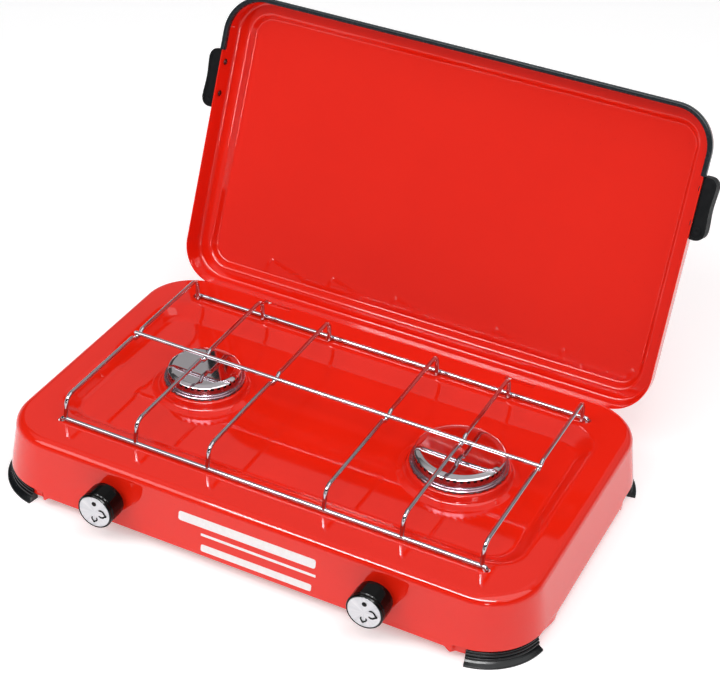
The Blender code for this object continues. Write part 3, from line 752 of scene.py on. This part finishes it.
# ---- burners ----
def port_ring(side, cap, seat, top):
    """Pressed ring with a flared rim at its foot and a row of square ports under the cap."""
    ports = 34 if side == "left" else 42
    shoulder = top - 0.0024
    wall = soften([
        (cap - 0.0050, seat, 0), (cap + 0.0028, seat, 0.0003), (cap + 0.0037, seat + 0.0007, 0.0006),
        (cap + 0.0028, seat + 0.0015, 0.0005), (cap + 0.0006, seat + 0.0019, 0.0012),
        (cap, seat + 0.0032, 0.0010), (cap - 0.0004, shoulder, 0)], 4)
    bm = bmesh.new()
    per_port = 4
    steps = ports * per_port
    rings = []
    for spot in wall + [Vector((cap - 0.0006, top, 0)), Vector((cap - 0.0050, top, 0))]:
        rings.append(circle(bm, (0, 0), spot.x, spot.y, steps))
    band = len(wall) - 1
    for number, (ring, following) in enumerate(zip(rings, rings[1:] + rings[:1])):
        if number != band:
            join_rings(bm, ring, following)
            continue
        for i in range(steps):
            j = (i + 1) % steps
            face = bm.faces.new((ring[i], ring[j], following[j], following[i]))
            # Port faces take the second material, which is painted shade.
            if i % per_port in (1, 2):
                face.material_index = 1
    holes = [face for face in bm.faces if face.material_index == 1]
    made = bmesh.ops.extrude_face_region(bm, geom=holes)
    pushed = [item for item in made["geom"] if isinstance(item, bmesh.types.BMVert)]
    bmesh.ops.delete(bm, geom=holes, context="FACES_ONLY")
    for vertex in pushed:
        radius = vertex.co.xy.length
        vertex.co.xy *= (radius - 0.0012) / radius
    return bm


def make_burner(side):
    cap = cap_radius(side)
    centre = middle("burner_cap_" + side)
    cap_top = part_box("burner_cap_" + side)[1].z
    place = Matrix.Translation((centre.x, centre.y, 0))
    hole = cap - BURNER_LIP
    flange = PLINTH_TOP_Z + GAP
    cup = soften([
        (0.0057, 0.0470, 0), (0.0067, 0.0470, 0.0003), (0.0067, 0.0525, 0.0020),
        (hole - 0.0020, 0.0580, 0.0030), (hole - 0.0015, flange, 0.0008), (cap + 0.0034, flange, 0),
        (cap + 0.0034, flange + 0.0008, 0.0003), (hole - 0.0025, flange + 0.0010, 0.0008),
        (hole - 0.0030, 0.0588, 0.0030), (0.0057, 0.0533, 0.0020)], 4, True)

    def crimped(angle, spot):
        rim = max(0.0, (spot[0] - cap) / 0.0034)
        return 1 - 0.022 * rim * (math.sin(angle * 36) > 0)

    piece("burner_bowl_" + side, lathe(cup, 216, crimped), "hob", PRESSED_STEEL,
          ["burner_cup_" + side], place)
    seat = flange + 0.0012
    ring_top = cap_top - 0.0021
    ring = piece("port_ring_" + side, port_ring(side, cap, seat, ring_top), "hob",
                 PORT_STEEL, ["burner_ring_" + side], place)
    # The ports' pushed-in pockets take painted shade: near-black in place of the dark seen through real
    # holes.
    ring.data.materials.append(PORT_PAINTED_SHADE)
    outline = soften([
        (0, cap_top - 0.0016, 0), (0, cap_top - 0.0004, 0), (cap - 0.0050, cap_top, 0.0150),
        (cap - 0.0014, cap_top - 0.0008, 0.0040), (cap - 0.0003, cap_top - 0.0014, 0.0004),
        (cap + 0.0001, cap_top - 0.0018, 0.0003), (cap - 0.0008, cap_top - 0.0020, 0),
        (cap - 0.0054, cap_top - 0.0020, 0), (cap - 0.0054, cap_top - 0.0050, 0),
        (cap - 0.0066, cap_top - 0.0050, 0), (cap - 0.0066, cap_top - 0.0016, 0)], 6)
    piece("polished_cap_" + side, lathe(outline, 128), "hob", mirror_cap(side, centre),
          ["burner_cap_" + side], place, 60)


# ---- grate ----
def make_grate():
    end_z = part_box("grate_front_bar")[0].z
    end_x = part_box("grate_front_bar")[1].x - BAR_RADIUS
    bars = {"front": ("grate_front_bar", FRONT_BAR_Y), "rear": ("grate_rear_bar", REAR_BAR_Y)}
    bead = Vector((0.0021, 0.0021, 0.0012))
    for name, (node, y) in bars.items():
        path = soften([
            (-end_x, y, end_z, 0), (-end_x, y, BAR_Z, 0.0045), (end_x, y, BAR_Z, 0.0045),
            (end_x, y, end_z, 0)], 8)
        bm = rod(path, BAR_RADIUS)
        for x in WIRE_X:
            side_on = Vector((x, y, BAR_Z + BAR_RADIUS))
            if name == "rear":
                side_on = Vector((x, y - BAR_RADIUS, BAR_Z))
            blob(bm, side_on, bead if name == "front" else bead.xzy)
        piece(f"grate_bar_{name}", bm, "hob", CHROME, [node])
    low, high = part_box("grate_centre_bar")
    ends = [Vector((x, CENTRE_BAR_Y, WIRE_Z)) for x in (low.x, 0, high.x)]
    piece("grate_bar_centre", rod(ends, BAR_RADIUS), "hob", CHROME, ["grate_centre_bar"])

    dip = BAR_RADIUS + WIRE_RADIUS
    leg_y = REAR_BAR_Y - dip - GAP
    for number, x in enumerate(WIRE_X, start=1):
        path = soften([
            (x, FRONT_BAR_Y, BAR_Z + BAR_RADIUS + GAP, 0),
            (x, FRONT_BAR_Y + 0.0024, WIRE_Z, 0.0090),
            (x, CENTRE_BAR_Y - 0.0085, WIRE_Z, 0.0035),
            (x, CENTRE_BAR_Y - 0.0035, WIRE_Z - dip, 0.0035),
            (x, CENTRE_BAR_Y + 0.0035, WIRE_Z - dip, 0.0035),
            (x, CENTRE_BAR_Y + 0.0085, WIRE_Z, 0.0035),
            (x, REAR_BAR_Y - 0.0060, WIRE_Z, 0.0090),
            (x, leg_y, RIM_Z + 0.0006 + 0.5 * WIRE_RADIUS, 0)], 8)
        bm = rod(path, WIRE_RADIUS, 16)
        blob(bm, Vector((x, CENTRE_BAR_Y, WIRE_Z - BAR_RADIUS)), Vector((0.0021, 0.0021, 0.0010)))
        piece(f"grate_finger_{number}", bm, "hob", CHROME, [f"grate_wire_{number}"])


# ---- gas line, seen from below and behind ----
def make_gas_line():
    low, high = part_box("gas_rail")
    radius = (high.z - low.z) / 2
    rail_z = (high.z + low.z) / 2
    rail_y = low.y + radius
    inlet_x = low.x + radius
    path = soften([
        (high.x, rail_y, rail_z, 0), (inlet_x, rail_y, rail_z, 0.020), (inlet_x, high.y, rail_z, 0)], 12)
    piece("gas_pipe", rod(path, radius, 24), "hob", ALUMINIUM, ["gas_rail"])

    low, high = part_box("inlet_nut")
    length = high.y - low.y
    corner_radius = 0.0095
    chamfer = 0.0008
    hexagon = arc((0, 0), corner_radius, 0, 360, 6)[:-1]
    nut = bare_object("inlet_hex_nut", slab(hexagon, 0, length, chamfer, 2))
    cut(nut, [bore(0.0056, -0.01, length + 0.01)])
    nut.data.transform(Matrix.Translation((inlet_x, low.y, rail_z)) @ BACKWARDS)
    dress(nut, "hob", BRASS, ["inlet_nut"], 25)

    low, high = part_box("inlet_nozzle")
    length = high.y - low.y
    barbs = []
    for start in (0.0242, 0.0287, 0.0332):
        barbs += [(0.0048, start, 0.0004), (0.0040, start + 0.0043, 0)]
    outline = soften([
        (0.0020, 0, 0), (0.0060, 0, 0.0003), (0.0060, 0.0180, 0), (0.0085, 0.0180, 0.0005),
        (0.0085, 0.0227, 0.0008), (0.0040, 0.0227, 0.0004), *barbs, (0.0032, length, 0.0004),
        (0.0020, length, 0)], 4, True)
    piece("hose_nozzle", lathe(outline, 48), "hob", BRASS, ["inlet_nozzle"],
          Matrix.Translation((inlet_x, low.y, rail_z)) @ BACKWARDS)

    for side in SIDES:
        tube = middle("mixing_tube_" + side)
        low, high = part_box("mixing_tube_" + side)
        knob = middle("knob_" + side)
        burner = middle("burner_cap_" + side)
        path = soften([
            (tube.x, low.y, knob.z, 0), (tube.x, burner.y, knob.z, 0.0110),
            (tube.x, burner.y, high.z, 0)], 12)
        piece("mixer_tube_" + side, pipe(path, 0.0082, 0.0071), "hob", ALUMINIUM,
              ["mixing_tube_" + side])


# ---- knobs ----
def flame_path(size):
    """Outline of a flame, open at its foot, with its tip at the top."""
    return [Vector((x * size, y * size, 0)) for x, y in (
        (-0.42, -0.48), (-0.55, -0.12), (-0.40, 0.16), (-0.10, 0.34), (0.10, 0.62), (0.20, 0.34),
        (0.42, 0.10), (0.50, -0.18), (0.36, -0.48))]


def ribbon(path, width, height):
    """A thin raised stroke along a flat path."""
    stations = []
    for i, point in enumerate(path):
        ahead = (path[min(i + 1, len(path) - 1)] - path[max(i - 1, 0)]).normalized()
        taper = 0.45 if i in (0, len(path) - 1) else 1.0
        across = Vector((-ahead.y, ahead.x, 0)) * width * 0.5 * taper
        up = Vector((0, 0, height))
        stations.append([point - across, point + across, point + across + up, point - across + up])
    return sweep(stations)


def merge(target, source, place):
    """Adds a copy of one mesh to another."""
    bmesh.ops.transform(source, matrix=place, verts=source.verts)
    mesh = bpy.data.meshes.new("merge")
    source.to_mesh(mesh)
    source.free()
    target.from_mesh(mesh)
    bpy.data.meshes.remove(mesh)


def make_knob(side):
    low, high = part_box("knob_" + side)
    radius = (high.x - low.x) / 2
    length = high.y - low.y
    centre = middle("knob_" + side)
    place = Matrix.Translation((centre.x, high.y, centre.z)) @ FORWARDS
    body = "tap_knob_" + side
    facets = 16
    collar = length - 0.0036

    def faceted(angle, spot):
        if not (0.0002 < spot[1] < collar - 0.0004) or spot[0] < radius * 0.8:
            return 1.0
        part = math.tau / facets
        off = (angle % part) - part / 2
        return 0.35 + 0.65 * math.cos(part / 2) / math.cos(off)

    lip = radius - 0.0014
    outline = soften([
        (0, 0.0130, 0), (0.0033, 0.0130, 0), (0.0033, 0.0, 0.0003), (radius - 0.0004, 0.0, 0.0008),
        (radius, 0.0040, 0.0020), (radius - 0.0001, collar - 0.0010, 0.0004),
        (radius - 0.0009, collar - 0.0002, 0.0003), (radius - 0.0009, collar + 0.0003, 0.0003),
        (radius, collar + 0.0009, 0.0005), (radius, length - 0.0012, 0.0007),
        (radius - 0.0008, length, 0.0004), (lip, length, 0.0002), (lip, length - 0.0014, 0),
        (0, length - 0.0014, 0)], 5)
    piece("knob_body_" + side, lathe(outline, facets * 8, faceted), body, KNOB_PLASTIC,
          ["knob_" + side], place, 30)

    seat = length - 0.0014 + GAP
    face_top = length + 0.0001
    edge = lip - GAP
    disc = soften([
        (0, seat, 0), (edge, seat, 0), (edge, face_top - 0.0004, 0.0003), (edge - 0.0009, face_top, 0.0005),
        (edge - 0.0016, face_top - 0.0003, 0.0005), (0, face_top - 0.0001, 0)], 4)
    piece("knob_disc_" + side, lathe(disc, 96), body, spun_disc(side, centre),
          ["knob_face_" + side], place, 30)

    marks = bmesh.new()
    ink = face_top - 0.0002
    dot = lathe([(0, 0), (0.0021, 0), (0.0021, 0.00025), (0, 0.00025)], 32)
    merge(marks, dot, Matrix.Translation((0, 0.0084, ink)))
    for angle_deg, size, width in ((-90, 0.0070, 0.0015), (180, 0.0050, 0.0013)):
        smooth = soften([(*spot.xy, 0.35 * size) for spot in flame_path(size)], 3)
        at = Matrix.Rotation(math.radians(angle_deg), 4, "Z") @ Matrix.Translation((0, 0.0076, ink))
        merge(marks, ribbon(smooth, width, 0.00025), at)
    piece("knob_marks_" + side, marks, body, BLACK_PRINT, (), place)


# ---- lid ----
def lid_loop(run_in, height):
    """The lid's rounded rectangle, this far in from its side and above its rim."""
    corner = LID_CORNER - run_in
    loop = []
    for quarter in range(4):
        centre_x = (LID_HALF.x - LID_CORNER) * (1 if quarter in (0, 3) else -1)
        centre_y = LID_MIDDLE_Y + (LID_HALF.y - LID_CORNER) * (1 if quarter in (0, 1) else -1)
        for x, y in arc((centre_x, centre_y), corner, 90 * quarter, 90 * (quarter + 1), 24):
            loop.append(Vector((x, y, LID_RIM + height)))
    return loop


def make_lid():
    """The pressed tray: a rounded wall, a shoulder and a raised panel."""
    profile = soften([
        (0, 0, 0), (0.0008, 0.0150, 0.02), (0.0018, 0.0230, 0.0070), (0.0142, 0.0232, 0.0030),
        (0.0180, LID_DEPTH, 0.0034), (0.0225, LID_DEPTH, 0)], 10)
    bm = bmesh.new()
    rings = [[bm.verts.new(point) for point in lid_loop(spot.x, spot.y)] for spot in profile]
    for ring, following in zip(rings, rings[1:]):
        join_rings(bm, ring, following)
    bm.faces.new(rings[-1])
    lid = make_sheet("lid_pressing", bm)
    holes = []
    for side, sign in SIDES.items():
        for end in ("front", "rear"):
            low, high = lid_box(f"grip_rivet_{side}_{end}")
            spot = (low + high) / 2
            hole = bore(0.0019, -0.004, 0.006, 24)
            at = Matrix.Translation((sign * (LID_HALF.x - 0.001), spot.y, spot.z))
            bmesh.ops.transform(hole, matrix=at @ Matrix.Rotation(math.pi / 2, 4, "Y"), verts=hole.verts)
            holes.append(hole)
    cut(lid, holes)
    lid.data.transform(OPENED)
    dress(lid, "lid", ENAMEL, ["lid_shell"], 50)


def make_trim():
    """Edging pushed over the lid's front edge and the front part of its sides."""
    section = soften([
        (0.0001, 0.0050, 0), (0.0018, 0.0050, 0.0007), (0.0018, -0.0014, 0.0016),
        (-0.0028, -0.0014, 0.0016), (-0.0028, 0.0042, 0.0006), (-0.0011, 0.0042, 0.0002),
        (-0.0011, -0.0003, 0), (0.0001, -0.0003, 0)], 5, True)
    end_y = lid_box("lid_grip_left")[0].y - 0.0004
    centre_y = LID_MIDDLE_Y - LID_HALF.y + LID_CORNER
    stations = [(Vector((-LID_HALF.x, end_y)), Vector((-1, 0)))]
    stations.append((Vector((-LID_HALF.x, (end_y + centre_y) / 2)), Vector((-1, 0))))
    for sign, start in ((-1, 180), (1, 270)):
        steps = 24
        for i in range(steps + 1):
            angle = math.radians(start + 90 * i / steps)
            outward = Vector((math.cos(angle), math.sin(angle)))
            centre = Vector((sign * (LID_HALF.x - LID_CORNER), centre_y))
            stations.append((centre + outward * LID_CORNER, outward))
    stations.append((Vector((LID_HALF.x, (end_y + centre_y) / 2)), Vector((1, 0))))
    stations.append((Vector((LID_HALF.x, end_y)), Vector((1, 0))))
    rings = []
    for spot, outward in stations:
        ring = []
        for point in section:
            across = spot + outward * point.x
            ring.append(Vector((across.x, across.y, LID_RIM + point.y)))
        rings.append(ring)
    piece("edge_trim", sweep(rings), "lid", VINYL, ["lid_edge_trim"], OPENED)


def make_grip(side):
    """Waisted plastic grip with a round boss at its hinge end, and its two rivets."""
    sign = SIDES[side]
    low, high = lid_box("lid_grip_" + side)
    face = LID_HALF.x + 0.0002
    tip = max(abs(low.x), abs(high.x))
    corner = 0.0078
    waist = 0.0011
    steps = 10
    outer = []
    for i in range(steps + 1):
        share = i / steps
        pull = waist * math.sin(math.pi * share) ** 2
        outer.append((tip - pull, low.y + corner + (high.y - low.y - 2 * corner) * share))
    outline = [(face, low.y)]
    outline += arc((tip - corner, low.y + corner), corner, -90, 0, 8)[:-1]
    outline += outer
    outline += arc((tip - corner, high.y - corner), corner, 0, 90, 8)[1:]
    outline += [(face, high.y)]
    bm = slab(outline, low.z, high.z, 0.0010, 3)
    inset = 0.0022
    panel = [(face + 0.0012, low.y + inset + 0.001)]
    panel += arc((tip - corner, low.y + corner), corner - inset, -90, 0, 8)[:-1]
    panel += [(x - inset, y) for x, y in outer]
    panel += arc((tip - corner, high.y - corner), corner - inset, 0, 90, 8)[1:]
    panel += [(face + 0.0012, high.y - inset - 0.001)]
    mirrored = Matrix.Diagonal((sign, 1, 1, 1))
    grip = bare_object("grip", bm)
    depth = 0.0006
    cut(grip, [slab(panel, low.z - 0.003, low.z + depth), slab(panel, high.z - depth, high.z + 0.003)])
    bm = bmesh.new()
    bm.from_mesh(grip.data)
    bpy.data.objects.remove(grip)
    boss_at = (tip - corner + 0.0004, high.y - corner - 0.0006)
    boss = soften([(0, 0.0002, 0), (0.0042, 0.0002, 0), (0.0038, 0.0010, 0.0005), (0.0016, 0.0010, 0.0003),
                   (0.0012, 0.0007, 0.0002), (0, 0.0007, 0)], 4)
    for z, flip in ((low.z + depth, math.pi), (high.z - depth, 0)):
        at = Matrix.Translation((*boss_at, z)) @ Matrix.Rotation(flip, 4, "X")
        merge(bm, lathe([(spot.x, spot.y - 0.0004) for spot in boss], 40), at)
    piece("grip_" + side, bm, "lid", GRIP_PLASTIC, ["lid_grip_" + side],
          OPENED @ mirrored, 35)

    for end in ("front", "rear"):
        node = f"grip_rivet_{side}_{end}"
        low, high = lid_box(node)
        spot = (low + high) / 2
        inside = min(abs(low.x), abs(high.x))
        length = abs(high.x - low.x)
        rivet = soften([
            (0, 0, 0), (0.0014, 0.0001, 0.0012), (0.0028, 0.0007, 0.0006), (0.0031, 0.0014, 0.0003),
            (0.0015, 0.0014, 0), (0.0015, length, 0), (0, length, 0)], 5)
        at = Matrix.Translation((sign * inside, spot.y, spot.z))
        outward = Matrix.Rotation(sign * math.pi / 2, 4, "Y")
        piece(f"rivet_{side}_{end}", lathe(rivet, 32), "lid", DARK_RIVET, [node],
              OPENED @ at @ outward, 50)


# ---- CAD nodes shown as they are, with edges eased and a finish of their own ----
def keep_cad_nodes():
    finishes = {
        "tap_body": BRASS, "injector": BRASS, "tap_plunger": BRASS, "tap_spindle": FASTENER,
        "rail_bracket": ZINC, "hinge_bracket": ENAMEL, "hinge_arm": ENAMEL, "hinge_pin": FASTENER,
    }
    for stem, look in finishes.items():
        for side in SIDES:
            node = frame["nodes"][f"{stem}_{side}"]
            node.data.materials.clear()
            node.data.materials.append(look)
            node.data.shade_smooth()
            node.data.set_sharp_from_angle(angle=math.radians(35))
            if look in (ZINC, ENAMEL):
                eased = node.modifiers.new("eased", "BEVEL")
                eased.width = 0.0002
                eased.segments = 2
                eased.limit_method = "ANGLE"
                eased.angle_limit = math.radians(50)


# ---- room, lights and camera ----
def stage_light(name, place, aim, width, depth, power, glint_only=False):
    data = bpy.data.lights.new(name, "AREA")
    data.shape = "RECTANGLE"
    data.size = width
    data.size_y = depth
    data.energy = power
    lamp = bpy.data.objects.new(name, data)
    lamp.visible_camera = False
    lamp.visible_diffuse = not glint_only
    lamp.location = place
    lamp.rotation_mode = "QUATERNION"
    lamp.rotation_quaternion = (Vector(aim) - Vector(place)).to_track_quat("-Z", "Y")
    bpy.context.scene.collection.objects.link(lamp)


def make_room():
    bm = bmesh.new()
    bmesh.ops.create_grid(bm, x_segments=1, y_segments=1, size=12.0)
    floor = bare_object("floor", bm)
    paint = Look("pale_floor", (0.90, 0.90, 0.90), 0.0, 0.9, Specular_IOR_Level=0.0)
    paint.tint(paint.spread(paint.noise(0.5), 0.0, 0.2), (0.88, 0.88, 0.88))
    paint.shader.inputs["Emission Color"].default_value = (1, 1, 1, 1)
    paint.shader.inputs["Emission Strength"].default_value = 0.37
    floor.data.materials.append(paint.material)

    world = bpy.data.worlds.new("studio")
    bpy.context.scene.world = world
    world.use_nodes = True
    tree = world.node_tree
    background = tree.nodes["Background"]
    sky = tree.nodes.new("ShaderNodeTexCoord")
    parts = tree.nodes.new("ShaderNodeSeparateXYZ")
    ramp = tree.nodes.new("ShaderNodeValToRGB")
    tree.links.new(sky.outputs["Generated"], parts.inputs["Vector"])
    tree.links.new(parts.outputs["Z"], ramp.inputs["Fac"])
    tree.links.new(ramp.outputs["Color"], background.inputs["Color"])
    stops = ramp.color_ramp.elements
    stops[0].position = 0.0
    stops[0].color = (0.30, 0.30, 0.31, 1)
    stops[1].position = 1.0
    stops[1].color = (0.55, 0.55, 0.56, 1)
    for height, level in ((0.22, 0.29), (0.32, 0.06), (0.68, 0.06), (0.80, 0.55)):
        stop = stops.new(height)
        stop.color = (level, level, level * 1.01, 1)
    background.inputs["Strength"].default_value = 1.0

    aim = (0, MIDDLE_Y, 0.08)
    stage_light("box_front", (0.0, MIDDLE_Y - 1.25, 1.75), aim, 1.8, 0.7, 14.2)
    stage_light("box_right", (0.95, MIDDLE_Y - 0.05, 1.7), aim, 1.7, 1.7, 13)
    stage_light("box_left", (-0.96, MIDDLE_Y - 1.14, 1.48), aim, 1.0, 0.8, 9)
    stage_light("box_back", (0.0, MIDDLE_Y + 1.9, 1.4), aim, 4.0, 1.4, 6)
    stage_light("strip_front", (0.15, MIDDLE_Y - 1.2, 1.7), aim, 2.1, 0.34, 50, True)
    stage_light("window_right", (0.93, MIDDLE_Y - 1.68, 0.63), aim, 0.2, 0.3, 4, True)


def make_camera():
    """The photograph's angle: from the right of the front, looking down."""
    data = bpy.data.cameras.new("camera")
    data.sensor_width = 36
    data.lens = 92.98
    camera = bpy.data.objects.new("camera", data)
    camera.location = (0.5593, MIDDLE_Y - 1.1757, 1.0251)
    camera.rotation_euler = [math.radians(turn) for turn in (56.063, -2.813, 26.257)]
    bpy.context.scene.collection.objects.link(camera)
    bpy.context.scene.camera = camera
    bpy.context.scene.view_settings.view_transform = "Standard"


make_hob()
make_stripes()
make_feet()
make_grate()
make_gas_line()
make_lid()
make_trim()
for each_side in SIDES:
    make_burner(each_side)
    make_knob(each_side)
    make_grip(each_side)
keep_cad_nodes()
make_room()
make_camera()
